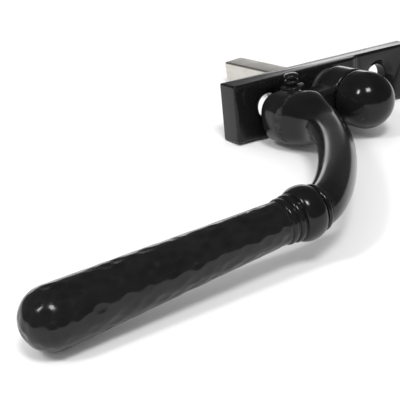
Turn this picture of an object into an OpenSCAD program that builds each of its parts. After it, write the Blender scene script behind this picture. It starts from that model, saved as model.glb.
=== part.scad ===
// Lever handle on a narrow bar backplate, with a hammered grip and a square spindle.
// X runs along the backplate, Y points to the back (into the frame or door) and Z is up.
// The origin is where the spindle axis meets the back face of the plate.

/* [Backplate] */
// Length of the bar
plate_l = 68.4; // [64:0.1:90]
// Width of the bar
plate_w = 17; // [17:0.5:22]
// Thickness of the bar
plate_t = 7.3; // [7.3:0.1:9]
// How far the right part of the front face is set back
step_depth = 1.6; // [0.5:0.1:2]
// Where the set-back part starts, right of the pivot
step_x = 10; // [9.5:0.1:13]
// Length of the sloping shoulder
shoulder_l = 2.2; // [1:0.1:3]
// Rounding of the plate's front edges
plate_round = 0.8; // [0.5:0.1:1.2]

/* [Fixing holes] */
// Distance between the two fixing holes
fixing_centres = 43; // [42:0.5:45]
// Radius of a fixing hole
fixing_r = 3.8; // [2.6:0.1:4.1]
// Radius of the countersink at the front
countersink_r = 5.5; // [4.5:0.1:5.8]

/* [Lever] */
// How far the lever hangs below the line of the plate, in degrees
droop = 3.9; // [0:0.1:8]
// Radius of the pivot barrel and of its bullet knob
barrel_r = 8.3; // [7.5:0.1:8.4]
// Front of the barrel, out from the plate's face
barrel_front = 11.4; // [10:0.1:13]
// Centre of the knob's round end, out from the plate's face
knob_out = 16.1; // [15:0.1:18]
// Centre of the hub, left of the pivot
hub_x = 20.4; // [19:0.1:22]
// Half the hub's width along the plate
hub_half_w = 7.8; // [7.5:0.1:8.6]
// Top of the hub above the pivot axis
hub_top = 7.5; // [7:0.1:8.2]
// Bottom of the hub below the pivot axis
hub_bottom = 7.4; // [7:0.1:8.4]
// Distance of the grip's axis out from the plate's face
grip_out = 65.9; // [60:0.1:72]
// Radius of the round swan neck
neck_r = 4.8; // [4.6:0.05:5.6]
// Start of the grip, left of the pivot
grip_start = 69; // [66:0.5:72]
// Centre of the grip's round end, left of the pivot
grip_end = 123.6; // [110:0.1:135]
// Radius of the grip beside the collar
grip_r0 = 4.95; // [4.8:0.05:5.5]
// Radius of the grip's round end
grip_r1 = 6.7; // [6:0.1:7.5]

/* [Spindle] */
// Side of the square spindle
spindle_w = 7; // [6.5:0.1:7]
// Length of the spindle behind the plate
spindle_out = 44; // [25:1:60]
// Radius of the journal that turns in the plate
journal_r = 5.9; // [5.8:0.1:6]

/* [Hidden] */

black = "#1b1b1d";
steel = "#c9cac6";
smooth = 64;
hidden_smooth = 48;
slack = 0.05;

// Places along Y, from the front face backwards
front_y = -plate_t;
web_t = 2.4;
web_back = front_y + web_t;
cover_t = 0.8;
cam_t = 2;
cam_y = web_back + 0.1;
thrust_t = 0.5;
thrust_y = cam_y + cam_t + slack;
wave_t = 0.35;
wave_h = 0.2;
wave_y = thrust_y + thrust_t + slack;
clip_t = 0.5;
clip_y = wave_y + wave_t + wave_h + slack;
journal_back = -0.1;

// Recess behind the plate
recess_half_w = 7.4;
recess_half_l = 14;
cover_half_l = 16.9;
cover_screw_x = 15.5;
cover_screw_r = 0.7;
cover_head_r = 1.25;
cam_r = 7.1;
washer_r = 7;
flat_half = 5.1;
groove_r = 5.2;

// Front rose
bush_wall = 0.9;
bush_flange_r = 7.4;
bush_flange_t = 0.9;
rose_washer_t = 0.5;
barrel_step = 3.1;
rose_r = 6.7;

// Detent
ball_r = 1.05;
ball_x = cam_r + 0.25 + ball_r;
ball_y = cam_y + cam_t / 2;
spring_start = ball_x + 1.1;
spring_turns = 4;
spring_coil_r = 0.8;
spring_wire_r = 0.2;

// Lever
hub_back = 1.3;
hub_front = 13;
pin_x = 17.3;
pin_out = 5.2;
seat_r = 3.7;
seat_drop = 1;
tenon_r = 4.5;
tenon_in = 10.5;
pin_r = 1.8;
arm_half_h = 5.1;
arm_back = 4.2;
arm_front = 12.2;
collar_start = 58;
tang_r = 2.6;
tang_l = 32;
tang_pin_x = grip_start + 9;
stud_r = 2.5;
screw_y = front_y - 5.6;
screw_r = 2;
socket_front = front_y - 8;

// ---------- helpers ----------

// Places children in the lever's own frame: X to the right, Y out from the plate's face
module lever_pose() {
    rotate([0, -droop, 0]) translate([0, front_y, 0]) mirror([0, 1, 0]) children();
}

// Turns a profile whose first coordinate runs along Y, the second is the radius
module turned(profile, sides = smooth) {
    rotate([90, 0, 0]) mirror([0, 0, 1]) rotate_extrude($fn = sides)
        polygon([for (p = profile) [p[1], p[0]]]);
}

// A flat ring around the Y axis
module ring(y, t, r_out, r_in, sides = smooth) {
    turned([[y, r_in], [y + t, r_in], [y + t, r_out], [y, r_out]], sides);
}

// A cylinder along Y
module rod_y(y0, y1, r, sides = smooth) {
    translate([0, y0, 0]) rotate([-90, 0, 0]) cylinder(h = y1 - y0, r = r, $fn = sides);
}

// Joins rings of points, each with the same number of points, into one closed solid
module skin(rings) {
    n = len(rings[0]);
    m = len(rings);
    points = [for (r = rings) each r];
    sides = [for (j = [0 : m - 2]) for (i = [0 : n - 1]) for (t = [0, 1])
        let (a = j * n + i, b = j * n + (i + 1) % n)
        t == 0 ? [a, b, b + n] : [a, b + n, a + n]];
    first = [[for (i = [n - 1 : -1 : 0]) i]];
    last = [[for (i = [0 : n - 1]) (m - 1) * n + i]];
    polyhedron(points = points, faces = concat(sides, first, last), convexity = 6);
}

// A square bar along Y with small chamfers on its long edges
module square_bar(w, y0, y1, chamfer) {
    h = w / 2;
    c = h - chamfer;
    translate([0, y1, 0]) rotate([90, 0, 0]) linear_extrude(y1 - y0)
        polygon([[h, -c], [h, c], [c, h], [-c, h], [-h, c], [-h, -c], [-c, -h], [c, -h]]);
}

// Point of a cubic curve through four control points
function bezier(p, t) = pow(1 - t, 3) * p[0] + 3 * pow(1 - t, 2) * t * p[1]
    + 3 * (1 - t) * t * t * p[2] + pow(t, 3) * p[3];

// Direction of the same curve
function bezier_way(p, t) = 3 * pow(1 - t, 2) * (p[1] - p[0])
    + 6 * (1 - t) * t * (p[2] - p[1]) + 3 * t * t * (p[3] - p[2]);

// Smooth step from 0 to 1
function ease(t) = let (u = min(max(t, 0), 1)) u * u * (3 - 2 * u);

// ---------- plate and what is fixed to it ----------

// Outline of the bar seen from above, with its set-back right part
module plate_outline() {
    left = -plate_l / 2;
    right = plate_l / 2;
    polygon([[left, 0], [left, front_y + plate_round], [left + plate_round, front_y],
        [step_x, front_y], [step_x + shoulder_l, front_y + step_depth],
        [right - plate_round, front_y + step_depth],
        [right, front_y + step_depth + plate_round], [right, 0]]);
}

// Removes the sharp front edges along the top and bottom of the bar
module plate_edge_cut(x0, x1, y) {
    side_of_cut = (plate_round - 0.12) * sqrt(2);
    for (side = [-1, 1])
        translate([(x0 + x1) / 2, y, side * plate_w / 2]) rotate([45, 0, 0])
            cube([x1 - x0, side_of_cut, side_of_cut], center = true);
}

// One countersunk fixing hole, with its front face at y
module fixing_hole(x, y) {
    sink = countersink_r - fixing_r;
    translate([x, 0, 0]) rod_y(y - 1, 1, fixing_r);
    translate([x, 0, 0])
        turned([[y - 1, 0], [y - 1, countersink_r + 1], [y + sink, fixing_r], [y + sink, 0]]);
}

module backplate() {
    color(black) difference() {
        translate([0, 0, -plate_w / 2]) linear_extrude(plate_w) plate_outline();
        plate_edge_cut(-plate_l, step_x, front_y);
        plate_edge_cut(step_x + shoulder_l, plate_l, front_y + step_depth);
        fixing_hole(-fixing_centres / 2, front_y);
        fixing_hole(fixing_centres / 2, front_y + step_depth);
        rod_y(front_y - 1, 1, journal_r + slack + bush_wall);
        translate([-recess_half_l, web_back, -recess_half_w])
            cube([2 * recess_half_l, plate_t, 2 * recess_half_w]);
        translate([-cover_half_l, -cover_t, -recess_half_w])
            cube([2 * cover_half_l, plate_t, 2 * recess_half_w]);
        for (side = [-1, 1])
            translate([side * cover_screw_x, 0, 0]) rod_y(-3.6, 1, cover_screw_r, 32);
    }
}

module pivot_bush() {
    inner = journal_r + slack;
    outer = inner + bush_wall;
    color(black) turned([[web_back, inner], [web_back, outer], [front_y, outer],
        [front_y, bush_flange_r], [front_y - bush_flange_t + 0.3, bush_flange_r],
        [front_y - bush_flange_t, bush_flange_r - 0.3], [front_y - bush_flange_t, inner]]);
}

module front_washer() {
    color(black) ring(front_y - bush_flange_t - rose_washer_t, rose_washer_t - slack,
        bush_flange_r - 0.4, journal_r + slack);
}

module rear_cover() {
    edge = 0.1;
    color(steel) difference() {
        translate([-cover_half_l + edge, -cover_t, -recess_half_w + edge])
            cube([2 * (cover_half_l - edge), cover_t, 2 * (recess_half_w - edge)]);
        rod_y(-2, 2, journal_r + 0.3);
        for (side = [-1, 1]) translate([side * cover_screw_x, 0, 0]) {
            rod_y(-2, 2, cover_screw_r, 32);
            turned([[1, 0], [1, cover_head_r + 0.05], [0, cover_head_r + 0.05],
                [-0.7, cover_screw_r], [-0.7, 0]], 32);
        }
    }
}

module cover_screws() {
    color(steel) for (side = [-1, 1]) translate([side * cover_screw_x, 0, 0]) difference() {
        turned([[-3.5, 0], [-3.5, cover_screw_r], [-0.7, cover_screw_r],
            [-0.05, cover_head_r], [-0.05, 0]], 32);
        translate([-2, -0.35, -0.2]) cube([4, 1, 0.4]);
    }
}

module detent_balls() {
    color(steel) for (side = [-1, 1]) translate([side * ball_x, ball_y, 0])
        rotate([0, 90, 0]) sphere(r = ball_r, $fn = hidden_smooth);
}

// Points of one turn of wire around the coil's centre line
function wire_ring(x, angle) = [for (i = [0 : 7])
    let (a = i * 45, r = spring_coil_r + spring_wire_r * cos(a))
    [x + spring_wire_r * sin(a), ball_y + r * cos(angle), r * sin(angle)]];

module detent_spring() {
    steps = 14 * spring_turns;
    length = recess_half_l - spring_start - 0.45;
    skin([for (i = [0 : steps])
        wire_ring(spring_start + 0.2 + length * i / steps, 360 * spring_turns * i / steps)]);
}

module detent_springs() {
    color(steel) {
        detent_spring();
        mirror([1, 0, 0]) detent_spring();
    }
}

// ---------- lever ----------

module barrel() {
    back = bush_flange_t + rose_washer_t + slack;
    turned([[back, 0], [back, rose_r], [barrel_step, rose_r], [barrel_step, barrel_r - 0.9],
        [barrel_step + 0.9, barrel_r], [barrel_front - 0.6, barrel_r],
        [barrel_front, barrel_r - 0.6], [barrel_front, 0]]);
}

module arm() {
    difference() {
        translate([-hub_x, arm_back, -arm_half_h])
            cube([hub_x - 2, arm_front - arm_back, 2 * arm_half_h]);
        rod_y(barrel_front - 0.02, barrel_front + 9, barrel_r + 0.15);
    }
}

// Outline of the hub seen from the front, with round corners
module hub_outline(shrink) {
    corner = 6.4 - shrink;
    half_w = hub_half_w - shrink;
    top = hub_top - shrink;
    bottom = shrink - hub_bottom;
    for (x = [corner - half_w, half_w - corner], y = [bottom + corner, top - corner])
        translate([x, y]) circle(corner, $fn = smooth);
    translate([-half_w, bottom + corner]) square([2 * half_w, top - bottom - 2 * corner]);
    translate([corner - half_w, bottom]) square([2 * (half_w - corner), top - bottom]);
}

// A slice of the hub between two distances out from the plate
module hub_slice(from, to, shrink) {
    translate([-hub_x, to, 0]) rotate([90, 0, 0]) linear_extrude(to - from) hub_outline(shrink);
}

module hub() {
    hub_slice(hub_back, hub_back + 1.1, 2.1);
    hub_slice(hub_back + 1.1, hub_back + 2.3, 0.9);
    hub_slice(hub_back + 2.3, hub_front, 0);
}

module lever_body() {
    color(black) difference() {
        union() {
            lever_pose() {
                barrel();
                arm();
                hub();
            }
            rotate([0, -droop, 0]) journal();
        }
        rotate([0, -droop, 0]) square_bar(spindle_w + 2 * slack, socket_front, 1, 0.5);
        lever_pose() {
            translate([-pin_x, pin_out, -20]) cylinder(h = 40, r = pin_r, $fn = hidden_smooth);
            translate([-pin_x, pin_out, hub_top - seat_drop]) cylinder(h = 9, r = seat_r, $fn = hidden_smooth);
            translate([-hub_x, 0, 0]) rod_y(hub_front - tenon_in, hub_front + 1, tenon_r, hidden_smooth);
            rod_y(barrel_front - 3, barrel_front + 1, stud_r, hidden_smooth);
        }
        rotate([0, -droop, 0]) translate([0, screw_y, -20]) cylinder(h = 20, r = screw_r, $fn = 32);
    }
}

// Journal with two flats for the cam and a groove for the circlip
module journal() {
    difference() {
        rod_y(front_y - 3, journal_back, journal_r);
        for (side = [-1, 1])
            translate([side * (flat_half + 5) - 5, cam_y - slack, -10]) cube([10, plate_t, 20]);
        ring(clip_y - slack, clip_t + 2 * slack, 10, groove_r);
    }
}

module hub_pin() {
    seat = hub_top - seat_drop + 0.02;
    head = [[0, 1.2 - hub_bottom], [pin_r, 1.2 - hub_bottom], [pin_r, seat], [3.2, seat],
        [3.5, seat + 0.3], [3.5, hub_top - 0.2], [3.2, hub_top + 0.1], [1.6, hub_top + 0.2],
        [1.6, hub_top + 0.6], [1.9, hub_top + 0.8], [2.1, hub_top + 1.2], [1.9, hub_top + 1.6],
        [1.5, hub_top + 1.9], [1.5, hub_top + 2.2], [1.9, hub_top + 2.5], [2.1, hub_top + 2.9],
        [1.9, hub_top + 3.3], [1.3, hub_top + 3.6], [0, hub_top + 3.7]];
    color(black) lever_pose() translate([-pin_x, pin_out, 0]) rotate_extrude($fn = smooth)
        polygon(head);
}

// ---------- control points of the neck's centre line, left and out ----------
neck_line = [[hub_x, hub_front], [hub_x - 5.6, hub_front + 12.5], [49.4, grip_out - 1.6],
    [collar_start, grip_out]];
neck_steps = 22;
neck_sides = 24;

// How tall the neck's section is at t: as tall as the hub at its root, then round
function neck_tall(t) = neck_r + (hub_top - neck_r - 0.1) * (1 - ease(t / 0.34));
function neck_wide(t) = neck_r + (hub_half_w - neck_r - 0.6) * (1 - ease(t / 0.24));

// One section of the neck, square to its centre line, but flat against the hub at its root
function neck_ring(t) = let (p = bezier(neck_line, t), w = bezier_way(neck_line, t),
        turned_way = [w[0] * ease(t / 0.2), w[1]],
        side = [turned_way[1], -turned_way[0]] / norm(turned_way))
    [for (i = [0 : neck_sides - 1]) let (a = -360 * i / neck_sides)
        [-p[0] - side[0] * neck_wide(t) * cos(a), p[1] + side[1] * neck_wide(t) * cos(a),
            neck_tall(t) * sin(a)]];

module swan_neck() {
    color(black) lever_pose() difference() {
        union() {
            skin([for (i = [0 : neck_steps]) neck_ring(i / neck_steps)]);
            translate([-hub_x, 0, 0])
                rod_y(hub_front - tenon_in + 0.3, hub_front + 0.5, tenon_r, hidden_smooth);
            translate([-collar_start, grip_out, 0]) rotate([0, -90, 0])
                cylinder(h = grip_start - collar_start + tang_l, r = tang_r, $fn = hidden_smooth);
        }
        translate([-pin_x, pin_out, -20]) cylinder(h = 40, r = pin_r, $fn = hidden_smooth);
        translate([-tang_pin_x, grip_out, -20]) cylinder(h = 40, r = 1, $fn = 32);
    }
}

// Places a turned piece on the grip's axis, with its first coordinate left of the pivot
module on_grip(profile) {
    lever_pose() translate([0, grip_out, 0]) rotate([0, -90, 0]) rotate_extrude($fn = smooth)
        polygon([for (p = profile) [p[1], p[0]]]);
}

// Half-round bead of a profile, from a to b along the axis, on a base radius
function bead(a, b, base, rise) = [for (i = [0 : 6])
    [a + (b - a) * (1 - cos(i * 30)) / 2, base + rise * sin(i * 30)]];

module collar() {
    c = collar_start;
    profile = concat([[c + slack, tang_r]], bead(c + slack, c + 1.3, 5, 0.5),
        bead(c + 1.6, c + 7, 5.2, 1.15), bead(c + 7.3, c + 8.8, 5, 0.5),
        bead(c + 9.2, c + 10.7, 4.9, 0.4), [[grip_start - slack, tang_r]]);
    color(black) on_grip(profile);
}

module grip() {
    dome = [for (a = [0 : 7.5 : 90]) [grip_end + grip_r1 * sin(a), grip_r1 * cos(a)]];
    profile = concat([[grip_start, 0], [grip_start, grip_r0]], dome);
    color(black) difference() {
        on_grip(profile);
        lever_pose() translate([-grip_start + 1, grip_out, 0]) rotate([0, -90, 0])
            cylinder(h = tang_l + 1.4, r = tang_r, $fn = hidden_smooth);
        lever_pose() translate([-tang_pin_x, grip_out, -20]) cylinder(h = 40, r = 1, $fn = 32);
    }
}

module tang_pin() {
    half = grip_r0 + 0.2;
    color(black) lever_pose() translate([-tang_pin_x, grip_out, -half])
        cylinder(h = 2 * half, r = 1, $fn = 32);
}

module knob() {
    neck = barrel_front + slack;
    dome = [for (a = [0 : 5 : 90]) [knob_out + barrel_r * sin(a), barrel_r * cos(a)]];
    color(black) lever_pose() difference() {
        turned(concat([[neck, 0], [neck, barrel_r - 0.9], [neck + 0.5, barrel_r - 0.9],
            [neck + 1.1, barrel_r]], dome));
        rod_y(neck - 1, neck + 8, stud_r, hidden_smooth);
    }
}

module knob_stud() {
    color(steel) lever_pose() rod_y(barrel_front - 2.9, barrel_front + 7.6, stud_r, hidden_smooth);
}

// ---------- spindle and retaining parts ----------

module spindle() {
    color(steel) rotate([0, -droop, 0]) intersection() {
        square_bar(spindle_w, socket_front + 0.1, spindle_out, 0.5);
        turned([[socket_front, 0], [socket_front, 6], [spindle_out - 1.6, 6],
            [spindle_out, 3.9], [spindle_out, 0]]);
    }
}

module spindle_screw() {
    top = -spindle_w / 2 - 0.1;
    color(steel) rotate([0, -droop, 0]) translate([0, screw_y, 0]) difference() {
        translate([0, 0, top - 4]) cylinder(h = 4, r = screw_r, $fn = 32);
        translate([0, 0, top - 5]) cylinder(h = 3, r = 1.15, $fn = 6);
    }
}

module index_cam() {
    color(steel) rotate([0, -droop, 0]) difference() {
        rod_y(cam_y, cam_y + cam_t, cam_r);
        intersection() {
            rod_y(cam_y - 1, cam_y + cam_t + 1, journal_r + 0.02);
            translate([-flat_half - 0.02, cam_y - 1, -10]) cube([2 * flat_half + 0.04, 9, 20]);
        }
        for (quarter = [0 : 90 : 270])
            rotate([0, quarter, 0]) translate([cam_r + 0.9, 0, 0])
                rod_y(cam_y - 1, cam_y + cam_t + 1, ball_r + 0.1, 32);
    }
}

module thrust_washer() {
    color(steel) rotate([0, -droop, 0]) ring(thrust_y, thrust_t, washer_r, journal_r + slack);
}

// Section of the spring washer at one angle: its middle rises and falls three times a turn
function wave_section(a) = let (y = wave_y + wave_h / 2 + wave_h / 2 * sin(3 * a),
        inner = journal_r + slack)
    [[inner, y], [washer_r, y], [washer_r, y + wave_t], [inner, y + wave_t]];

module wave_washer() {
    count = 48;
    points = [for (i = [0 : count - 1]) for (p = wave_section(360 * i / count))
        [p[0] * cos(360 * i / count), p[1], p[0] * sin(360 * i / count)]];
    faces = [for (i = [0 : count - 1]) for (k = [0 : 3]) for (t = [0, 1])
        let (a = 4 * i + k, b = 4 * i + (k + 1) % 4, c = 4 * ((i + 1) % count) + (k + 1) % 4,
            d = 4 * ((i + 1) % count) + k)
        t == 0 ? [a, c, b] : [a, d, c]];
    color(steel) polyhedron(points = points, faces = faces, convexity = 4);
}

module circlip() {
    color(steel) rotate([0, -droop, 0]) difference() {
        union() {
            ring(clip_y, clip_t, groove_r + 1.3, groove_r + 0.02);
            for (side = [-1, 1])
                rotate([0, 90 + side * 14, 0]) translate([groove_r + 0.9, 0, 0])
                    rod_y(clip_y, clip_y + clip_t, 0.8, 32);
        }
        translate([-1, clip_y - 1, -10]) cube([2, 3, 10]);
        for (side = [-1, 1])
            rotate([0, 90 + side * 14, 0]) translate([groove_r + 0.9, 0, 0])
                rod_y(clip_y - 1, clip_y + 2, 0.35, 24);
    }
}

backplate();
pivot_bush();
front_washer();
rear_cover();
cover_screws();
detent_balls();
detent_springs();
lever_body();
hub_pin();
swan_neck();
collar();
grip();
tang_pin();
knob();
knob_stud();
spindle();
spindle_screw();
index_cam();
thrust_washer();
wave_washer();
circlip();
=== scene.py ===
import math
import bpy
import numpy as np
from mathutils import Matrix, Vector


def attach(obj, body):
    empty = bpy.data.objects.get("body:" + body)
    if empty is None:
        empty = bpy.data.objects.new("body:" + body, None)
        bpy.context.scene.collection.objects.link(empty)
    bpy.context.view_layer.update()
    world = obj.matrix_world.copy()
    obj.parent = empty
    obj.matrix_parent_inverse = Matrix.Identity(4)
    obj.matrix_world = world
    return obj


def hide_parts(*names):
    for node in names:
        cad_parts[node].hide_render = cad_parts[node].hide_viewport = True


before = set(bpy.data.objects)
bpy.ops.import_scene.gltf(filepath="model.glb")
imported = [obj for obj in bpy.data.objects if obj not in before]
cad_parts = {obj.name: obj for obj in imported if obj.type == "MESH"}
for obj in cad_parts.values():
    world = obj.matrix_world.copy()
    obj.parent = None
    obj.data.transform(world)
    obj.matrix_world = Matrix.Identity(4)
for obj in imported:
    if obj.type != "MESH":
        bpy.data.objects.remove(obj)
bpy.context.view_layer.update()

print("frame loaded:", len(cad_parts), "nodes")

mm = 0.001
plateFront = -7.3    # the plate's front face, mm along Y
droop = math.radians(3.9)    # how far the lever hangs below the plate's line


# Placing and making meshes

# A point of the lever, right of the pivot, out from the plate's face and up, is turned
# down about the pivot by the droop and comes out in metres.
def leverPoint(x, out, z):
    x, out, z = np.broadcast_arrays(x, out, z)
    return np.stack([x * math.cos(droop) - z * math.sin(droop), plateFront - out,
                     x * math.sin(droop) + z * math.cos(droop)], axis=-1) * mm


def meshFromArrays(name, points, quads, tris):
    corners = np.concatenate([quads.ravel(), tris.ravel()]).astype(np.int32)
    sizes = np.concatenate([np.full(len(quads), 4), np.full(len(tris), 3)])
    mesh = bpy.data.meshes.new(name)
    mesh.vertices.add(len(points))
    mesh.vertices.foreach_set("co", points.astype(np.float32).ravel())
    mesh.loops.add(len(corners))
    mesh.loops.foreach_set("vertex_index", corners)
    mesh.polygons.add(len(sizes))
    mesh.polygons.foreach_set("loop_start", (np.cumsum(sizes) - sizes).astype(np.int32))
    mesh.update(calc_edges=True)
    mesh.validate()
    return mesh


# Rings of points become quads between neighbours, round each ring and from ring to ring.
# The ends close on a pole, or the last ring joins the first. The enclosed volume, a sixth
# of the sum of each triangle's triple product, says whether the faces must be turned over.
def skinMesh(name, rings, poles=None, loop=False):
    rows, cols = rings.shape[:2]
    row = np.arange(rows if loop else rows - 1)[:, None]
    col = np.arange(cols)[None, :]
    here, after = row * cols, ((row + 1) % rows) * cols
    right = (col + 1) % cols
    quads = np.stack([here + col, here + right, after + right, after + col], axis=-1).reshape(-1, 4)
    points = rings.reshape(-1, 3)
    tris = np.zeros((0, 3), int)
    if not loop:
        first, last = poles if poles is not None else (rings[0].mean(axis=0), rings[-1].mean(axis=0))
        points = np.vstack([points, first, last])
        ring = np.arange(cols)
        turn = (ring + 1) % cols
        base = (rows - 1) * cols
        tris = np.vstack([
            np.stack([np.full(cols, rows * cols), turn, ring], axis=-1),
            np.stack([np.full(cols, rows * cols + 1), base + ring, base + turn], axis=-1)])
    halves = np.vstack([quads[:, [0, 1, 2]], quads[:, [0, 2, 3]], tris])
    a, b, c = (points[halves[:, k]] for k in range(3))
    if np.einsum("ij,ij->i", a, np.cross(b, c)).sum() < 0:
        quads, tris = quads[:, ::-1], tris[:, ::-1]
    return meshFromArrays(name, points, quads, tris)


# Each corner of an outline is replaced by a quadratic curve that leaves one side and meets
# the other at the rounding distance from the corner.
def roundedLine(corners, rounding, steps=6, closed=False):
    corners = np.array(corners, float)
    rounding = np.broadcast_to(rounding, len(corners))
    t = np.linspace(0, 1, steps + 1)[:, None]
    line = []
    for i, corner in enumerate(corners):
        if rounding[i] == 0 or (not closed and i in (0, len(corners) - 1)):
            line.append(corner[None])
            continue
        before, after = corners[i - 1] - corner, corners[(i + 1) % len(corners)] - corner
        reach = min(rounding[i], 0.49 * np.linalg.norm(before), 0.49 * np.linalg.norm(after))
        start = corner + before / np.linalg.norm(before) * reach
        end = corner + after / np.linalg.norm(after) * reach
        line.append((1 - t) ** 2 * start + 2 * t * (1 - t) * corner + t ** 2 * end)
    return np.vstack(line)


# A profile of distances along an axis and radii is swept round it. place turns the distance
# along the axis and the two sideways offsets, radius times cosine and sine, into a point.
def turnedRings(profile, place, sides):
    angle = np.linspace(0, 2 * np.pi, sides, endpoint=False)
    along, radius = profile[:, :1], profile[:, 1:]
    return place(along + 0 * angle, radius * np.cos(angle), radius * np.sin(angle))


def turnedMesh(name, profile, place, sides=160, loop=False):
    profile = np.array(profile, float)
    rings = turnedRings(profile, place, sides)
    ends = place(profile[[0, -1], 0], np.zeros(2), np.zeros(2))
    return skinMesh(name, rings, ends, loop)


def outFromPlate(along, u, v):
    return leverPoint(u, along, v)


def alongGrip(along, u, v):
    return leverPoint(-along, gripLine["out"] + u, v)


def upThroughHub(along, u, v):
    return leverPoint(-hub["pinX"] + u, hub["pinOut"] + v, along)


def intoPlate(centre):
    return lambda along, u, v: np.stack(np.broadcast_arrays(centre + u, along, v), axis=-1) * mm


def smoothed(mesh, angle=32):
    mesh.shade_smooth()
    mesh.set_sharp_from_angle(angle=math.radians(angle))
    return mesh


def addPiece(name, mesh, material, body, slotName, *nodes):
    mesh.name = name
    mesh.materials.clear()
    mesh.materials.append(material)
    piece = bpy.data.objects.new(name, mesh)
    bpy.context.scene.collection.objects.link(piece)
    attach(piece, body)
    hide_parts(*nodes)
    return piece


# The mesh that an object shows with its modifiers on, as a mesh of its own.
def appliedMesh(thing):
    depsgraph = bpy.context.evaluated_depsgraph_get()
    mesh = bpy.data.meshes.new_from_object(thing.evaluated_get(depsgraph))
    thing.modifiers.clear()
    return mesh


def scratchObject(name, mesh):
    thing = bpy.data.objects.new(name, mesh)
    bpy.context.scene.collection.objects.link(thing)
    return thing


# Materials

def newGroup(name, inputs, outputs):
    group = bpy.data.node_groups.new(name, "ShaderNodeTree")
    for label, kind, value in inputs:
        socket = group.interface.new_socket(label, in_out="INPUT", socket_type=kind)
        socket.default_value = value
    for label, kind in outputs:
        group.interface.new_socket(label, in_out="OUTPUT", socket_type=kind)
    return group, group.nodes.new("NodeGroupInput"), group.nodes.new("NodeGroupOutput")


def mathNode(tree, kind, a, b, clamp=False):
    node = tree.nodes.new("ShaderNodeMath")
    node.operation, node.use_clamp = kind, clamp
    for socket, value in zip(node.inputs, (a, b)):
        if isinstance(value, (int, float)):
            socket.default_value = value
        else:
            tree.links.new(value, socket)
    return node.outputs[0]


def rangeNode(tree, value, fromLow, fromHigh, toLow, toHigh):
    node = tree.nodes.new("ShaderNodeMapRange")
    tree.links.new(value, node.inputs["Value"])
    labels = ("From Min", "From Max", "To Min", "To Max")
    for label, amount in zip(labels, (fromLow, fromHigh, toLow, toHigh)):
        if isinstance(amount, (int, float)):
            node.inputs[label].default_value = amount
        else:
            tree.links.new(amount, node.inputs[label])
    return node.outputs["Result"]


def noiseNode(tree, vector, scale, detail=3.0, roughness=0.5):
    node = tree.nodes.new("ShaderNodeTexNoise")
    tree.links.new(vector, node.inputs["Vector"])
    node.inputs["Detail"].default_value = detail
    node.inputs["Roughness"].default_value = roughness
    if isinstance(scale, (int, float)):
        node.inputs["Scale"].default_value = scale
    else:
        tree.links.new(scale, node.inputs["Scale"])
    return node.outputs["Fac"]


def mixColour(tree, factor, a, b):
    node = tree.nodes.new("ShaderNodeMix")
    node.data_type = "RGBA"
    for socket, value in ((node.inputs[0], factor), (node.inputs[6], a), (node.inputs[7], b)):
        if isinstance(value, (int, float, tuple)):
            socket.default_value = value
        else:
            tree.links.new(value, socket)
    return node.outputs[2]


# Sprayed coat: slow patches of tone and gloss, and the fine ripple that a coat dries with
def makeCoatGroup():
    group, given, out = newGroup("sprayedCoat", [
        ("Thin", "NodeSocketColor", (0.03, 0.03, 0.03, 1)),
        ("Thick", "NodeSocketColor", (0.01, 0.01, 0.01, 1)),
        ("Patch Scale", "NodeSocketFloat", 120.0), ("Ripple Scale", "NodeSocketFloat", 900.0),
        ("Gloss Low", "NodeSocketFloat", 0.2), ("Gloss High", "NodeSocketFloat", 0.35)],
        [("Color", "NodeSocketColor"), ("Roughness", "NodeSocketFloat"), ("Height", "NodeSocketFloat")])
    place = group.nodes.new("ShaderNodeTexCoord").outputs["Object"]
    patch = rangeNode(group, noiseNode(group, place, given.outputs["Patch Scale"], 4.0), 0.35, 0.65, 0.0, 1.0)
    ripple = noiseNode(group, place, given.outputs["Ripple Scale"], 2.0, 0.4)
    speck = noiseNode(group, place, 5200.0, 1.0, 0.6)
    tone = mixColour(group, patch, given.outputs["Thin"], given.outputs["Thick"])
    group.links.new(tone, out.inputs["Color"])
    mottle = mathNode(group, "MULTIPLY_ADD", patch, 0.7)
    group.links.new(mathNode(group, "MULTIPLY", ripple, 0.3), mottle.node.inputs[2])
    gloss = rangeNode(group, mottle, 0.1, 0.9, given.outputs["Gloss Low"], given.outputs["Gloss High"])
    group.links.new(gloss, out.inputs["Roughness"])
    height = mathNode(group, "MULTIPLY_ADD", speck, 0.12)
    group.links.new(ripple, height.node.inputs[2])
    group.links.new(height, out.inputs["Height"])
    return group


# Rubbed edges: where the surface is sharply convex, broken up by noise
def makeRubGroup():
    group, given, out = newGroup("rubbedEdges", [
        ("Amount", "NodeSocketFloat", 0.5), ("Sharpness", "NodeSocketFloat", 0.56)],
        [("Mask", "NodeSocketFloat")])
    place = group.nodes.new("ShaderNodeTexCoord").outputs["Object"]
    bend = group.nodes.new("ShaderNodeNewGeometry").outputs["Pointiness"]
    edge = rangeNode(group, bend, 0.505, given.outputs["Sharpness"], 0.0, 1.0)
    broken = rangeNode(group, noiseNode(group, place, 700.0, 5.0, 0.65), 0.4, 0.62, 0.0, 1.0)
    group.links.new(mathNode(group, "MULTIPLY", mathNode(group, "MULTIPLY", edge, broken),
                             given.outputs["Amount"], True), out.inputs["Mask"])
    return group


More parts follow.
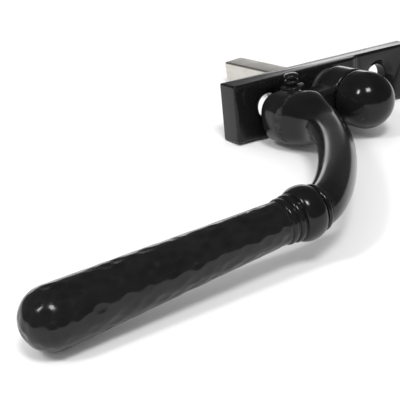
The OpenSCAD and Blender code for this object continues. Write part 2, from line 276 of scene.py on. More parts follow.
# Dust: settles in specks on what faces up
def makeDustGroup():
    group, given, out = newGroup("restingDust", [
        ("Amount", "NodeSocketFloat", 0.1)],
        [("Mask", "NodeSocketFloat")])
    place = group.nodes.new("ShaderNodeTexCoord").outputs["Object"]
    split = group.nodes.new("ShaderNodeSeparateXYZ")
    group.links.new(group.nodes.new("ShaderNodeNewGeometry").outputs["Normal"], split.inputs[0])
    facing = rangeNode(group, split.outputs["Z"], 0.2, 1.0, 0.0, 1.0)
    specks = rangeNode(group, noiseNode(group, place, 2600.0, 3.0, 0.7), 0.56, 0.74, 0.0, 1.0)
    film = noiseNode(group, place, 150.0, 3.0, 0.5)
    both = mathNode(group, "ADD", specks, mathNode(group, "MULTIPLY", film, 0.35))
    group.links.new(mathNode(group, "MULTIPLY", mathNode(group, "MULTIPLY", facing, both),
                             given.outputs["Amount"], True), out.inputs["Mask"])
    return group


# Drawn metal: noise stretched along the way it was drawn, with a slower cloud of tone
def makeDrawnGroup():
    group, given, out = newGroup("drawnMetal", [
        ("Light", "NodeSocketColor", (0.7, 0.7, 0.68, 1)), ("Dark", "NodeSocketColor", (0.5, 0.5, 0.49, 1)),
        ("Stretch", "NodeSocketVector", (3000.0, 60.0, 3000.0)), ("Gloss Low", "NodeSocketFloat", 0.25),
        ("Gloss High", "NodeSocketFloat", 0.45)],
        [("Color", "NodeSocketColor"), ("Roughness", "NodeSocketFloat"), ("Height", "NodeSocketFloat")])
    place = group.nodes.new("ShaderNodeTexCoord").outputs["Object"]
    scaled = group.nodes.new("ShaderNodeVectorMath")
    scaled.operation = "MULTIPLY"
    group.links.new(place, scaled.inputs[0])
    group.links.new(given.outputs["Stretch"], scaled.inputs[1])
    lines = noiseNode(group, scaled.outputs[0], 1.0, 4.0, 0.6)
    cloud = noiseNode(group, place, 140.0, 3.0, 0.5)
    blend = mathNode(group, "MULTIPLY_ADD", lines, 0.55)
    group.links.new(mathNode(group, "MULTIPLY", cloud, 0.45), blend.node.inputs[2])
    tone = rangeNode(group, blend, 0.3, 0.7, 0.0, 1.0)
    colour = mixColour(group, tone, given.outputs["Dark"], given.outputs["Light"])
    group.links.new(colour, out.inputs["Color"])
    gloss = rangeNode(group, blend, 0.3, 0.7, given.outputs["Gloss High"], given.outputs["Gloss Low"])
    group.links.new(gloss, out.inputs["Roughness"])
    group.links.new(lines, out.inputs["Height"])
    return group


coatGroup, rubGroup = makeCoatGroup(), makeRubGroup()
dustGroup, drawnGroup = makeDustGroup(), makeDrawnGroup()


def placeGroup(tree, group, values):
    node = tree.nodes.new("ShaderNodeGroup")
    node.node_tree = group
    for label, value in values.items():
        node.inputs[label].default_value = value
    return node


def newMaterial(name):
    material = bpy.data.materials.new(name)
    material.use_nodes = True
    tree = material.node_tree
    return material, tree, tree.nodes["Principled BSDF"]


def addBump(tree, shader, height, strength, distance):
    bump = tree.nodes.new("ShaderNodeBump")
    bump.inputs["Strength"].default_value = strength
    bump.inputs["Distance"].default_value = distance
    tree.links.new(height, bump.inputs["Height"])
    tree.links.new(bump.outputs["Normal"], shader.inputs["Normal"])


# A black coat on metal: sprayed tone and gloss, rubbed edges a little lighter, dust on top, painted shade in
# dents
def blackCoat(name, look):
    material, tree, shader = newMaterial(name)
    coat = placeGroup(tree, coatGroup, {
        "Thin": look["thin"], "Thick": look["thick"], "Patch Scale": look["patch"],
        "Ripple Scale": look["ripple"], "Gloss Low": look["gloss"][0], "Gloss High": look["gloss"][1]})
    rub = placeGroup(tree, rubGroup, {"Amount": look["rub"], "Sharpness": look["sharp"]})
    dust = placeGroup(tree, dustGroup, {"Amount": look["dust"]})
    colour = mixColour(tree, rub.outputs["Mask"], coat.outputs["Color"], (0.09, 0.09, 0.095, 1))
    colour = mixColour(tree, dust.outputs["Mask"], colour, (0.32, 0.31, 0.3, 1))
    worn = mathNode(tree, "MULTIPLY", rub.outputs["Mask"], 0.12)
    rough = mathNode(tree, "ADD", coat.outputs["Roughness"], worn)
    rough = mathNode(tree, "ADD", rough, mathNode(tree, "MULTIPLY", dust.outputs["Mask"], 0.9), True)
    height = coat.outputs["Height"]
    if "hollowShade" in look:    # painted shade: the dents are coloured darker than the crests between them, and made duller
        dent = tree.nodes.new("ShaderNodeAttribute")
        dent.attribute_name = "dent"
        deep = rangeNode(tree, dent.outputs["Fac"], 0.0, 1.0, 0.0, 1.0)
        colour = mixColour(tree, deep, colour, look["hollowShade"])
        rough = mathNode(tree, "ADD", rough, mathNode(tree, "MULTIPLY", deep, look["hollowDull"]), True)
    tree.links.new(colour, shader.inputs["Base Color"])
    tree.links.new(rough, shader.inputs["Roughness"])
    shader.inputs["Metallic"].default_value = 0.0
    shader.inputs["IOR"].default_value = 1.5
    shader.inputs["Specular IOR Level"].default_value = look["specular"]
    addBump(tree, shader, height, look["bump"], look["bumpDeep"])
    return material


def bareMetal(name, look):
    material, tree, shader = newMaterial(name)
    metal = placeGroup(tree, drawnGroup, {
        "Light": look["light"], "Dark": look["dark"], "Stretch": look["stretch"],
        "Gloss Low": look["gloss"][0], "Gloss High": look["gloss"][1]})
    tree.links.new(metal.outputs["Color"], shader.inputs["Base Color"])
    tree.links.new(metal.outputs["Roughness"], shader.inputs["Roughness"])
    shader.inputs["Metallic"].default_value = 1.0
    addBump(tree, shader, metal.outputs["Height"], look["bump"], 0.00004)
    return material


plateBlack = blackCoat("plateBlack", {
    "thin": (0.0085, 0.0085, 0.0092, 1), "thick": (0.0065, 0.0065, 0.007, 1), "patch": 90.0, "ripple": 1500.0,
    "gloss": (0.12, 0.18), "rub": 0.12, "sharp": 0.6, "dust": 0.004, "specular": 0.3,
    "bump": 0.015, "bumpDeep": 0.00005})
leverBlack = blackCoat("leverBlack", {
    "thin": (0.0095, 0.0095, 0.0102, 1), "thick": (0.006, 0.006, 0.0065, 1), "patch": 110.0, "ripple": 700.0,
    "gloss": (0.11, 0.18), "rub": 0.3, "sharp": 0.6, "dust": 0.012, "specular": 0.3,
    "bump": 0.07, "bumpDeep": 0.00006})
# the grip's hollow colour is painted shade, darkening its hammer dents
gripBlack = blackCoat("gripBlack", {
    "thin": (0.0125, 0.0125, 0.0133, 1), "thick": (0.008, 0.008, 0.0085, 1), "patch": 160.0, "ripple": 800.0,
    "gloss": (0.13, 0.22), "rub": 0.25, "sharp": 0.58, "dust": 0.012, "specular": 0.3,
    "bump": 0.08, "bumpDeep": 0.00006, "hollowShade": (0.005, 0.005, 0.0055, 1), "hollowDull": 0.05})
nylonBlack = blackCoat("nylonBlack", {
    "thin": (0.03, 0.03, 0.031, 1), "thick": (0.022, 0.022, 0.023, 1), "patch": 300.0, "ripple": 2400.0,
    "gloss": (0.45, 0.6), "rub": 0.0, "sharp": 0.6, "dust": 0.0, "specular": 0.4,
    "bump": 0.1, "bumpDeep": 0.00004})
spindleSteel = bareMetal("spindleSteel", {
    "light": (0.74, 0.72, 0.67, 1), "dark": (0.56, 0.545, 0.5, 1), "stretch": (4200.0, 55.0, 4200.0),
    "gloss": (0.3, 0.48), "bump": 0.14})
zincSteel = bareMetal("zincSteel", {
    "light": (0.66, 0.67, 0.66, 1), "dark": (0.5, 0.51, 0.5, 1), "stretch": (900.0, 900.0, 900.0),
    "gloss": (0.28, 0.46), "bump": 0.1})
springSteel = bareMetal("springSteel", {
    "light": (0.42, 0.42, 0.43, 1), "dark": (0.27, 0.27, 0.28, 1), "stretch": (1600.0, 1600.0, 1600.0),
    "gloss": (0.24, 0.4), "bump": 0.08})
print("materials made:", len(bpy.data.materials))

# Backplate

plate = {
    "left": -34.2, "right": 34.2, "half": 8.5, "edge": 0.7,    # ends, half height and edge rounding, mm
    "stepStart": 10.0, "stepEnd": 12.2, "stepBack": -5.7,    # where the face goes back, and how far
    "holeX": 21.5, "holeR": 3.8, "mouthR": 5.5,
    "bushR": 6.85, "recessX": 14.0, "recessZ": 7.4, "recessY": -4.9, "coverX": 16.9, "coverY": -0.8,
    "screwX": 15.5, "screwR": 0.7,
}


# The bar is its outline from above, stacked from the bottom to the top. Near both, the
# outline shrinks along its own normals by the quarter-circle that rounds the edge, less at
# the back, where the edge stays crisp.
def plateRings():
    outline = roundedLine([
        [plate["left"], 0], [plate["left"], plateFront], [plate["stepStart"], plateFront],
        [plate["stepEnd"], plate["stepBack"]], [plate["right"], plate["stepBack"]], [plate["right"], 0]],
        [0.25, 0.9, 1.3, 0.9, 0.9, 0.25], 8, True)
    ahead = np.roll(outline, -1, axis=0) - np.roll(outline, 1, axis=0)
    normal = np.stack([-ahead[:, 1], ahead[:, 0]], axis=-1)
    normal /= np.linalg.norm(normal, axis=1)[:, None]
    middle = np.array([0, -3.2])
    if ((outline - middle) * normal).sum() < 0:
        normal = -normal
    keep = np.where(outline[:, 1] > -0.6, 0.3, 1.0)[:, None]
    turn = np.linspace(0, np.pi / 2, 7)
    rise = plate["edge"] * (1 - np.cos(turn))
    shrink = plate["edge"] * (1 - np.sin(turn))
    height = np.concatenate([-plate["half"] + rise, plate["half"] - rise[::-1]])
    inset = np.concatenate([shrink, shrink[::-1]])
    flat = outline[None] - normal[None] * keep[None] * inset[:, None, None]
    z = np.broadcast_to(height[:, None], flat.shape[:2])
    return np.stack([flat[..., 0], flat[..., 1], z], axis=-1) * mm


# The fixing hole's cutter: a straight bore, a 45 degree mouth and a lip that eases on to the face
def holeCutter(centre, face):
    sink = plate["mouthR"] - plate["holeR"]
    profile = roundedLine([
        [face - 1, 7.2], [face - 0.12, plate["mouthR"] + 0.55], [face + 0.1, plate["mouthR"] + 0.02],
        [face + sink, plate["holeR"]], [-0.2, plate["holeR"]], [1, plate["holeR"] + 1.2]],
        [0, 0.3, 0.3, 0.25, 0.1, 0], 4)
    return turnedMesh("holeCutter", profile, intoPlate(centre), 96)


def boxMesh(name, low, high):
    x, y, z = (np.array([low[k], high[k]]) for k in range(3))
    ring = np.array([[x[0], y[0]], [x[1], y[0]], [x[1], y[1]], [x[0], y[1]]])
    rings = np.stack([np.column_stack([ring, np.full(4, level)]) for level in z]) * mm
    return skinMesh(name, rings)


def cutWith(target, cutters):
    for index, cutter in enumerate(cutters):
        thing = scratchObject("cutter", cutter)
        cut = target.modifiers.new(f"cut{index}", "BOOLEAN")
        cut.operation, cut.solver, cut.object = "DIFFERENCE", "EXACT", thing
        mesh = appliedMesh(target)
        target.data = mesh
        bpy.data.objects.remove(thing)
    return target.data


barrelBore = turnedMesh("bore", [[plateFront - 1, plate["bushR"]], [1, plate["bushR"]]], intoPlate(0), 96)
recess = boxMesh("recess", (-plate["recessX"], plate["recessY"], -plate["recessZ"]),
                 (plate["recessX"], 1, plate["recessZ"]))
ledge = boxMesh("ledge", (-plate["coverX"], plate["coverY"], -plate["recessZ"]),
                (plate["coverX"], 2, plate["recessZ"]))
screwHoles = [turnedMesh("screwHole", [[-3.6, plate["screwR"]], [1, plate["screwR"]]],
                         intoPlate(side * plate["screwX"]), 32) for side in (-1, 1)]
blank = scratchObject("plateBlank", skinMesh("plateBlank", plateRings()))
plateMesh = cutWith(blank, [
    holeCutter(-plate["holeX"], plateFront), holeCutter(plate["holeX"], plate["stepBack"]),
    barrelBore, recess, ledge] + screwHoles)
bpy.data.objects.remove(blank)
addPiece("plateBar", smoothed(plateMesh, 28), plateBlack, "mounting", "black_plate", "backplate")
print("plate made:", len(plateMesh.polygons), "faces")

# Lever body: hub, arm and barrel in one casting

hub = {
    "x": 20.4, "halfW": 7.8, "top": 7.5, "bottom": -7.4, "back": 1.3, "front": 13.0,    # mm from the pivot
    "square": 2.6, "backRound": 5.0, "lean": 0.45, "leanFrom": 9.6,
    "pinX": 17.3, "pinOut": 5.2, "seatR": 3.7, "seatZ": 6.5,
}
arm = {"half": 5.1, "back": 4.2, "front": 12.2, "round": 1.1, "blend": 1.5}
barrel = {
    "r": 8.3, "back": 3.1, "front": 11.4, "round": 0.75,
    "roseR": 6.7, "roseBack": 1.45, "roseFront": 4.0, "roseRound": 0.25, "knobClear": 0.4,
}


# Distance to a block whose two parts, across and along, are rounded together at their rim
def roundedRim(across, along, rim):
    across, along = across + rim, along + rim
    inside = np.minimum(np.maximum(across, along), 0)
    return inside + np.hypot(np.maximum(across, 0), np.maximum(along, 0)) - rim


# The lower of two distances, eased together over the blend width
def easedUnion(a, b, blend):
    share = np.clip(0.5 + 0.5 * (b - a) / blend, 0, 1)
    return b + (a - b) * share - blend * share * (1 - share)


def castingDistance(p):
    x, out, z = p[:, 0], p[:, 1], p[:, 2]
    round2 = np.hypot(x, z)
    barrelMiddle = (barrel["front"] + barrel["back"]) / 2
    barrelHalf = (barrel["front"] - barrel["back"]) / 2
    body = roundedRim(round2 - barrel["r"], np.abs(out - barrelMiddle) - barrelHalf, barrel["round"])
    roseMiddle = (barrel["roseFront"] + barrel["roseBack"]) / 2
    roseHalf = (barrel["roseFront"] - barrel["roseBack"]) / 2
    rose = roundedRim(round2 - barrel["roseR"], np.abs(out - roseMiddle) - roseHalf, barrel["roseRound"])
    # the hub's outline is a squared-off oval, which starts to lean towards the knob near its front
    leaning = np.clip(out - hub["leanFrom"], 0, None) ** 2
    shift = hub["lean"] * leaning / (2 * (hub["front"] - hub["leanFrom"]))
    backX = hub["x"] + hub["lean"] * (hub["front"] - hub["leanFrom"]) / 2
    halfH = (hub["top"] - hub["bottom"]) / 2
    n = hub["square"]
    u = np.abs(x + backX - shift) / hub["halfW"]
    v = np.abs(z - (hub["top"] + hub["bottom"]) / 2) / halfH
    oval = ((u ** n + v ** n + 1e-12) ** (1 / n) - 1) * halfH
    block = np.where(out > (hub["front"] + hub["back"]) / 2, np.maximum(oval, out - hub["front"]),
                     roundedRim(oval, hub["back"] - out, hub["backRound"]))
    bar = roundedRim(np.abs(z) - arm["half"], np.maximum(arm["back"] - out, out - arm["front"]), arm["round"])
    bar = np.maximum(bar, np.abs(x + hub["x"] / 2 + 1) - hub["x"] / 2 + 1)
    overKnob = np.minimum(out - barrel["front"], barrel["r"] + barrel["knobClear"] - round2)    # off the knob
    joined = easedUnion(easedUnion(body, bar, arm["blend"]), block, arm["blend"])
    joined = np.maximum(joined, overKnob)
    seat = np.maximum(np.hypot(x + hub["pinX"], out - hub["pinOut"]) - hub["seatR"], hub["seatZ"] - z)
    joined = np.maximum(joined, -seat)
    return np.minimum(joined, rose)


# The rough union is remeshed evenly, then every point moves down the distance's slope, by
# the distance over the slope's length squared, until it lies on the surface.
def castingMesh():
    def roughBox(low, high):
        return boxMesh("rough", low, high)
    parts = [
        turnedMesh("rough", [[barrel["roseBack"], 6.6], [3.1, 6.6], [3.1, 8.2], [11.4, 8.2]],
                   lambda along, u, v: np.stack(np.broadcast_arrays(u, along, v), axis=-1) * mm, 64),
        roughBox((-hub["x"], arm["back"], -arm["half"]), (-6, arm["front"] - 0.1, arm["half"])),
        roughBox((-hub["x"] - 6.2, hub["back"], -6.2), (-hub["x"] + 6, hub["front"] - 0.1, 6.3))]
    things = [scratchObject(f"rough{i}", part) for i, part in enumerate(parts)]
    whole = things[0]
    for i, thing in enumerate(things[1:]):
        join = whole.modifiers.new(f"join{i}", "BOOLEAN")
        join.operation, join.solver, join.object = "UNION", "EXACT", thing
    remesh = whole.modifiers.new("even", "REMESH")
    remesh.mode, remesh.voxel_size = "VOXEL", 0.3 * mm
    mesh = appliedMesh(whole)
    for thing in things:
        bpy.data.objects.remove(thing)
    points = np.zeros(len(mesh.vertices) * 3, np.float32)
    mesh.vertices.foreach_get("co", points)
    points = points.reshape(-1, 3).astype(float) / mm
    step = 0.02
    for turn in range(14):
        value = castingDistance(points)
        slope = np.stack([
            (castingDistance(points + step * axis) - castingDistance(points - step * axis)) / (2 * step)
            for axis in np.eye(3)], axis=-1)
        size = np.maximum((slope ** 2).sum(axis=1), 0.3)
        points -= slope * (np.clip(value, -0.6, 0.6) / size)[:, None] * 0.85
    placed = leverPoint(points[:, 0], points[:, 1], points[:, 2])
    mesh.vertices.foreach_set("co", placed.astype(np.float32).ravel())
    mesh.flip_normals()    # out from the plate runs against Y, which mirrors the mesh
    mesh.update()
    furthest = float(np.abs(castingDistance(points)).max())
    print("casting: furthest point off its surface", round(furthest, 3), "mm")
    return mesh


casting = castingMesh()
addPiece("leverCasting", smoothed(casting, 50), leverBlack, "lever", "black_lever", "lever_body")

# The journal below the barrel, with the clip's groove near its end
journalProfile = roundedLine([[3.4, 5.9], [-5.6, 5.9], [-5.6, 5.2], [-6.2, 5.2], [-6.2, 5.9], [-7.2, 5.9]],
                             [0, 0.05, 0.05, 0.05, 0.05, 0])
journal = turnedMesh("journal", journalProfile, outFromPlate, 128)
addPiece("leverJournal", smoothed(journal), leverBlack, "lever", "black_lever", "lever_body")
print("lever body made:", len(casting.polygons), "faces")

# Swan neck

gripLine = {"out": 65.9}
neck = {"start": (20.4, 13.0), "pull": (14.8, 25.5), "bend": (49.4, 64.3), "end": 58.0, "r": 4.8,
        "rootTall": 7.45, "rootWide": 7.8, "steps": 200, "sides": 112,
        # the share of the curve over which each of these eases from the hub's to the neck's
        "flatShare": 0.2, "tallShare": 0.27, "wideShare": 0.26, "knobShare": 0.165,
        "squareShare": 0.42, "liftShare": 0.36}


# The centre line is a cubic curve that leaves the hub straight out and meets the grip's
# axis. Each section is a squared-off oval across it, whose half width, half height and
# squareness ease from the hub's to the round neck's. The half width eases sooner on the
# knob's side.
def neckRings():
    t = np.linspace(0, 1, neck["steps"])
    control = np.array([neck["start"], neck["pull"], neck["bend"], (neck["end"], gripLine["out"])])
    weight = np.stack([(1 - t) ** 3, 3 * (1 - t) ** 2 * t, 3 * (1 - t) * t ** 2, t ** 3], axis=-1)
    line = weight @ control
    way = np.gradient(line, axis=0)
    way /= np.linalg.norm(way, axis=1)[:, None]
    line[0] -= way[0] * 0.2    # a little inside the hub, and into the collar
    line[-1] += way[-1] * 0.6
    def eased(v):
        v = np.clip(v, 0, 1)
        return v * v * (3 - 2 * v)
    turned = eased(t / neck["flatShare"])    # sections start flat on the hub
    flat = np.stack([way[:, 0] * turned, way[:, 1]], axis=-1)
    flat /= np.linalg.norm(flat, axis=1)[:, None]
    across = np.stack([flat[:, 1], -flat[:, 0]], axis=-1)
    tall = neck["r"] + (neck["rootTall"] - neck["r"]) * (1 - eased(t / neck["tallShare"]))
    wide, knobSide = (neck["r"] + (neck["rootWide"] - neck["r"]) * (1 - eased(t / share))
                      for share in (neck["wideShare"], neck["knobShare"]))
    square = 2 + (hub["square"] - 2) * (1 - eased(t / neck["squareShare"]))
    lift = (hub["top"] + hub["bottom"]) / 2 * (1 - eased(t / neck["liftShare"]))
    angle = np.linspace(0, 2 * np.pi, neck["sides"], endpoint=False)
    power = 2 / square[:, None]
    half = np.where(np.cos(angle) < 0, knobSide[:, None], wide[:, None])
    u = half * np.sign(np.cos(angle)) * np.abs(np.cos(angle)) ** power
    v = tall[:, None] * np.sign(np.sin(angle)) * np.abs(np.sin(angle)) ** power + lift[:, None]
    x = -(line[:, :1] + across[:, :1] * u)
    out = line[:, 1:] + across[:, 1:] * u
    return leverPoint(x, out, v)


neckMesh = skinMesh("neck", neckRings())
addPiece("swanNeck", smoothed(neckMesh, 60), leverBlack, "lever", "black_lever", "swan_neck")
print("neck made:", len(neckMesh.polygons), "faces")

# Collar

collar = {
    "start": 58.0, "end": 69.0, "bore": 2.6,
    # each bead is from, to, base radius and rise
    "beads": [(0.05, 1.3, 5.0, 0.5), (1.6, 7.0, 5.2, 1.15), (7.3, 8.8, 5.0, 0.5), (9.2, 10.7, 4.9, 0.4)],
}


# Each bead is half an oval: along by the cosine, out by the sine
def collarProfile():
    t = np.linspace(0, np.pi, 25)
    beads = [np.stack([collar["start"] + a + (b - a) * (1 - np.cos(t)) / 2, base + rise * np.sin(t)], axis=-1)
             for a, b, base, rise in collar["beads"]]
    first = [[collar["start"] + 0.05, collar["bore"]]]
    last = [[collar["end"] - 0.05, 4.75], [collar["end"] - 0.05, collar["bore"]]]
    return np.vstack([first] + beads + [last])


collarMesh = turnedMesh("collar", collarProfile(), alongGrip, 192, loop=True)
addPiece("beadedCollar", smoothed(collarMesh, 50), leverBlack, "lever", "black_lever", "collar")
print("collar made:", len(collarMesh.polygons), "faces")

# Hammered grip

grip = {"start": 69.0, "end": 123.6, "r0": 4.95, "r1": 6.7, "rows": 310, "sides": 288,
        "hammer": 9.0, "deep": (0.0, 0.2), "spacing": 2.7, "seed": 31,
        "pinX": 78, "pinNear": 3, "unlimited": 9.0, "fullDent": 0.4}


# Half length and radius of the smooth grip at a share of its profile's length: a straight
# taper, then a quarter-circle dome. The normal leans back where the profile closes.
def gripProfile(share):
    straight = grip["end"] - grip["start"]
    total = straight + grip["r1"] * np.pi / 2
    s = share * total
    turn = np.clip((s - straight) / grip["r1"], 0, np.pi / 2)
    onDome = s > straight
    along = np.where(onDome, grip["end"] + grip["r1"] * np.sin(turn), grip["start"] + s)
    taper = grip["r0"] + (grip["r1"] - grip["r0"]) * s / straight
    radius = np.where(onDome, grip["r1"] * np.cos(turn), taper)
    return along, radius, np.where(onDome, np.sin(turn), 0.0), np.where(onDome, np.cos(turn), 1.0)


# Hammer blows lie on a jittered grid round the grip. A blow cuts inward by its depth, less
# the squared sideways distance over twice the hammer's radius, less the fall of the surface
# away from the blow's own tangent plane. The deepest blow wins, with soft crests between.
def gripRings():
    share = np.linspace(0, 0.994, grip["rows"])
    angle = np.linspace(0, 2 * np.pi, grip["sides"], endpoint=False)
    along, radius, lean, rise = (v[:, None] for v in gripProfile(share))
    base = np.stack(np.broadcast_arrays(along, radius * np.cos(angle), radius * np.sin(angle)), axis=-1)
    normal = np.stack(np.broadcast_arrays(lean, rise * np.cos(angle), rise * np.sin(angle)), axis=-1)
    rng = np.random.default_rng(grip["seed"])
    blowRows = np.arange(0.01, 1.02, grip["spacing"] / 65.1)
    centres, facing = [], []
    for k, middle in enumerate(blowRows):
        a, r, ln, rs = gripProfile(np.array([min(middle, 1.0)]))
        count = max(1, int(round(2 * np.pi * r[0] / (grip["spacing"] * 0.95))))
        spin = (np.arange(count) + 0.5 * (k % 2) + rng.uniform(-0.28, 0.28, count)) / count * 2 * np.pi
        a, r, ln, rs = gripProfile(np.clip(middle + rng.uniform(-0.016, 0.016, count), 0, 1))
        centres.append(np.stack([a, r * np.cos(spin), r * np.sin(spin)], axis=-1))
        facing.append(np.stack([ln, rs * np.cos(spin), rs * np.sin(spin)], axis=-1))
    centres, facing = np.vstack(centres), np.vstack(facing)
    depth = rng.uniform(*grip["deep"], len(centres))
    sharp = 22.0
    total = np.zeros(base.shape[:2])
    for centre, way, deep in zip(centres, facing, depth):
        gap = base - centre
        fall = gap @ way
        side = (gap ** 2).sum(axis=-1) - fall ** 2
        total = np.logaddexp(total, sharp * (deep - side / (2 * grip["hammer"]) + fall))
    cut = total / sharp
    cut *= np.clip((along - grip["start"]) / 1.2, 0, 1)    # fades at the collar
    # and over the hidden pin's two ends, where cuts may only deepen slowly away from the pin
    atEnd = np.abs(base[..., 2]) > grip["pinNear"]
    pin = np.hypot(along - grip["pinX"], np.abs(base[..., 1])) + np.where(atEnd, 0, grip["unlimited"])
    shallow = np.where(pin < grip["pinNear"], 0.0, grip["unlimited"]) + np.clip(pin - 1.2, 0, 2) * 0.25
    cut = np.minimum(cut, shallow)
    rings = base - normal * cut[..., None]
    return alongGrip(rings[..., 0], rings[..., 1], rings[..., 2]), cut, len(centres)


gripPoints, gripCut, blows = gripRings()
tip = alongGrip(np.array([grip["start"], grip["end"] + grip["r1"] - 0.22]), np.zeros(2), np.zeros(2))
gripMesh = skinMesh("grip", gripPoints, tip)
# the dent share also sets the painted shade that darkens the grip's coat in its dents
dent = gripMesh.attributes.new("dent", "FLOAT", "POINT")
dentShare = np.clip(gripCut.ravel() / grip["fullDent"], 0, 1)
dentValues = np.concatenate([dentShare, [0, 0.4]])    # the two poles come last
dent.data.foreach_set("value", dentValues.astype(np.float32))
addPiece("hammeredGrip", smoothed(gripMesh, 60), gripBlack, "lever", "black_hammered", "grip")
print("grip made:", blows, "blows,", len(gripMesh.polygons), "faces")

# Knob, hub pin and spindle

knob = {"base": 11.45, "neckR": 7.4, "neckOut": 0.5, "shoulder": 1.1, "r": 8.3, "domeOut": 16.1}
turn = np.linspace(0, np.pi / 2, 40)[:-1]
knobDome = np.stack([knob["domeOut"] + knob["r"] * np.sin(turn), knob["r"] * np.cos(turn)], axis=-1)
knobFoot = roundedLine([
    [knob["base"], 1.0], [knob["base"], knob["neckR"]], [knob["base"] + knob["neckOut"], knob["neckR"]],
    [knob["base"] + knob["shoulder"], knob["r"]], [knob["domeOut"] - 0.5, knob["r"]]], [0, 0.1, 0.15, 0.7, 0])
knobProfile = np.vstack([knobFoot, knobDome])
knobEnds = outFromPlate(np.array([knob["base"], knob["domeOut"] + knob["r"]]), np.zeros(2), np.zeros(2))
knobMesh = skinMesh("knob", turnedRings(knobProfile, outFromPlate, 192), knobEnds)
addPiece("bulletKnob", smoothed(knobMesh, 45), leverBlack, "lever", "black_lever", "knob")

pinTop = hub["top"]
pinHead = {"discR": 3.5, "shank": 1.8, "waist": 1.5, "low": -6.2, "seatGap": 0.02,
           "beads": [(0.5, 1.85, 1.5, 0.62), (2.1, 3.5, 1.45, 0.65)]}
pinSeat = hub["seatZ"] + pinHead["seatGap"]
pinParts = [roundedLine([
    [pinHead["low"], pinHead["shank"]], [pinSeat, pinHead["shank"]], [pinSeat, pinHead["discR"]],
    [pinTop + 0.1, pinHead["discR"]], [pinTop + 0.2, pinHead["waist"]]], [0, 0, 0.25, 0.35, 0])]
for low, high, base, rise in pinHead["beads"]:
    reach = np.linspace(0, np.pi if high < 3 else np.pi * 0.86, 21)
    beadUp = pinTop + low + (high - low) * (1 - np.cos(reach)) / 2
    pinParts.append(np.stack([beadUp, base + rise * np.sin(reach)], axis=-1))
pinParts.append(np.array([[pinTop + 3.68, 0.7]]))
pinMesh = turnedMesh("pin", np.vstack(pinParts), upThroughHub, 128)
addPiece("hubPinHead", smoothed(pinMesh, 50), leverBlack, "lever", "black_lever", "hub_pin")

spindle = {"half": 3.5, "corner": 0.55, "start": -15.2, "end": 44.0, "taper": 1.6, "tipR": 3.9,
           "clearR": 6}    # a radius beyond the corners, where nothing is cut


# A square bar with small rounded corners. Near the tip its points may be no further from
# the axis than the tip's cone, which cuts the corners back.
def spindleRings():
    h = spindle["half"]
    outline = roundedLine([[-h, -h], [h, -h], [h, h], [-h, h]], spindle["corner"] * 1.3, 5, True)
    level = np.concatenate([np.linspace(spindle["start"], spindle["end"] - spindle["taper"] - 0.1, 30),
                            np.linspace(spindle["end"] - spindle["taper"], spindle["end"], 14)])
    intoTip = (level - spindle["end"] + spindle["taper"]) / spindle["taper"]
    limit = np.clip(spindle["clearR"] - (spindle["clearR"] - spindle["tipR"]) * intoTip, 0, spindle["clearR"])
    far = np.linalg.norm(outline, axis=1)
    scale = np.minimum(1, limit[:, None] / far[None])
    edge = np.where(np.arange(len(level)) >= len(level) - 1, 0.985, 1.0)[:, None]
    x, z = outline[None, :, 0] * scale * edge, outline[None, :, 1] * scale * edge
    return leverPoint(x, plateFront - level[:, None] + 0 * x, z)


spindleMesh = skinMesh("spindle", spindleRings())
addPiece("squareSpindle", smoothed(spindleMesh, 22), spindleSteel, "lever", "spindle_steel", "spindle")
print("knob, pin and spindle made")

# The parts that keep their own shape

finishes = {
    "pivot_bush": nylonBlack, "front_washer": nylonBlack, "rear_cover": zincSteel, "cover_screws": zincSteel,
    "detent_balls": zincSteel, "detent_springs": springSteel, "tang_pin": gripBlack, "knob_stud": zincSteel,
    "spindle_screw": zincSteel, "index_cam": zincSteel, "thrust_washer": zincSteel,
    "wave_washer": springSteel, "circlip": springSteel,
}
for nodeName, finish in finishes.items():
    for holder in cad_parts[nodeName].material_slots:
        holder.material = finish
print("finishes given:", len(finishes))

# Floor, light and camera

room = {
    "floorZ": -8.55, "floorRise": 0.1, "floorHalf": 3000.0,    # mm, the rise is up per distance back
    "boxes": [
        {"way": (-0.696, -0.1435, 0.7028), "far": 0.9, "size": (0.11, 0.2), "radiance": 34.0},
        {"way": (-0.2232, -0.5525, 0.8012), "far": 0.9, "size": (0.22, 0.2), "radiance": 26.0},
    ],
    "aim": (-15.0, -25.0, 0.0),
    "even": 0.72, "sweepWay": (0.46, 0.86, 0.2), "sweepBright": 2.1,
}


# The floor is a flat sheet that touches the plate's lower edge, the grip's end and the
# spindle's end, so its height rises a tenth of the distance back.
def makeFloor():
    reach = np.linspace(-room["floorHalf"], room["floorHalf"], 41)
    x, y = np.meshgrid(reach, reach)
    points = np.stack([x, y, room["floorZ"] + room["floorRise"] * y], axis=-1).reshape(-1, 3) * mm
    row, col = np.meshgrid(np.arange(40), np.arange(40), indexing="ij")
    corner = (row * 41 + col).ravel()
    quads = np.stack([corner, corner + 1, corner + 42, corner + 41], axis=-1)
    floor = scratchObject("floor", meshFromArrays("floor", points, quads, np.zeros((0, 3), int)))
    material, tree, shader = newMaterial("paperWhite")
    place = tree.nodes.new("ShaderNodeTexCoord").outputs["Object"]
    tone = rangeNode(tree, noiseNode(tree, place, 9.0, 2.0), 0.3, 0.7, 0.0, 1.0)
    colour = mixColour(tree, tone, (0.9, 0.9, 0.9, 1), (0.915, 0.915, 0.915, 1))
    tree.links.new(colour, shader.inputs["Base Color"])
    shader.inputs["Roughness"].default_value = 0.9
    shader.inputs["Specular IOR Level"].default_value = 0.1
    floor.data.materials.append(material)


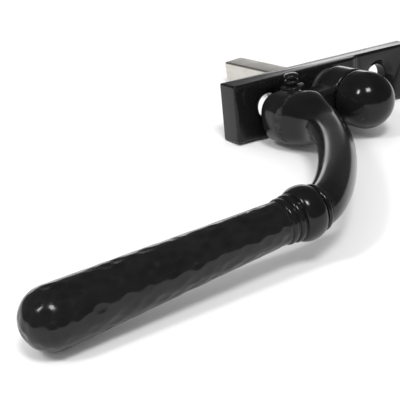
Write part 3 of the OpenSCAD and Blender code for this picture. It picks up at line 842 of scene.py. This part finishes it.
def makeLights():
    aim = Vector(room["aim"]) * mm
    for index, box in enumerate(room["boxes"]):
        light = bpy.data.lights.new(f"softBox{index}", "AREA")
        light.shape, light.size, light.size_y = "RECTANGLE", box["size"][0], box["size"][1]
        light.energy = box["radiance"] * math.pi * box["size"][0] * box["size"][1]
        lamp = bpy.data.objects.new(light.name, light)
        bpy.context.scene.collection.objects.link(lamp)
        way = Vector(box["way"]).normalized()
        facing = way.to_track_quat("Z", "Y").to_matrix().to_4x4()
        lamp.matrix_world = Matrix.Translation(aim + way * box["far"]) @ facing


# The room lights evenly. What the gloss mirrors is dark towards the viewer, a little less so
# at the back, and dimmer overhead, with one bright low sweep where the plate's top edge mirrors.
def makeWorld():
    world = bpy.data.worlds.new("paleRoom")
    bpy.context.scene.world = world
    world.use_nodes = True
    tree = world.node_tree
    tree.nodes["Background"].inputs["Color"].default_value = (1, 1, 1, 1)
    way = tree.nodes.new("ShaderNodeTexCoord").outputs["Generated"]
    dot = tree.nodes.new("ShaderNodeVectorMath")
    dot.operation = "DOT_PRODUCT"
    tree.links.new(way, dot.inputs[0])
    dot.inputs[1].default_value = (-0.26, -0.96, 0.0)
    split = tree.nodes.new("ShaderNodeSeparateXYZ")
    tree.links.new(way, split.inputs[0])
    behind = rangeNode(tree, dot.outputs["Value"], -0.55, 0.35, 0.11, 0.07)
    low = rangeNode(tree, split.outputs["Z"], 0.3, 0.62, 1.0, 0.35)
    window = tree.nodes.new("ShaderNodeVectorMath")
    window.operation = "DOT_PRODUCT"
    tree.links.new(way, window.inputs[0])
    window.inputs[1].default_value = Vector(room["sweepWay"]).normalized()
    aimed = rangeNode(tree, window.outputs["Value"], 0.9, 0.975, 0.0, room["sweepBright"])
    sweep = mathNode(tree, "MULTIPLY", aimed, rangeNode(tree, split.outputs["Z"], 0.242, 0.272, 1.0, 0.03))
    shade = mathNode(tree, "ADD", mathNode(tree, "MULTIPLY", behind, low), sweep)
    path = tree.nodes.new("ShaderNodeLightPath").outputs["Is Glossy Ray"]
    strength = rangeNode(tree, path, 0.0, 1.0, room["even"], shade)
    tree.links.new(strength, tree.nodes["Background"].inputs["Strength"])


# The camera stands where the plate's straight edges and the knob's roundness put it
def makeCamera():
    look = {"spot": (-185.469, -238.035, 74.188), "azimuth": -30.6017, "elevation": 19.6211,
            "roll": -5.79224, "lens": 90}
    az, el, roll = (math.radians(look[k]) for k in ("azimuth", "elevation", "roll"))
    back = Vector((math.sin(az) * math.cos(el), -math.cos(az) * math.cos(el), math.sin(el)))
    right = (-back).cross(Vector((0, 0, 1))).normalized()
    up = right.cross(-back)
    tilted = math.cos(roll) * right + math.sin(roll) * up
    upright = -math.sin(roll) * right + math.cos(roll) * up
    camera = bpy.data.objects.new("camera", bpy.data.cameras.new("camera"))
    bpy.context.scene.collection.objects.link(camera)
    camera.data.lens, camera.data.sensor_width = look["lens"], 36
    camera.data.clip_start, camera.data.clip_end = 0.01, 20
    turned = Matrix((tilted, upright, back)).transposed().to_4x4()
    camera.matrix_world = Matrix.Translation(Vector(look["spot"]) * mm) @ turned
    bpy.context.scene.camera = camera


makeFloor()
makeLights()
makeWorld()
makeCamera()
bpy.context.scene.view_settings.view_transform = "Standard"
bpy.context.scene.view_settings.look = "None"
print("stage set")
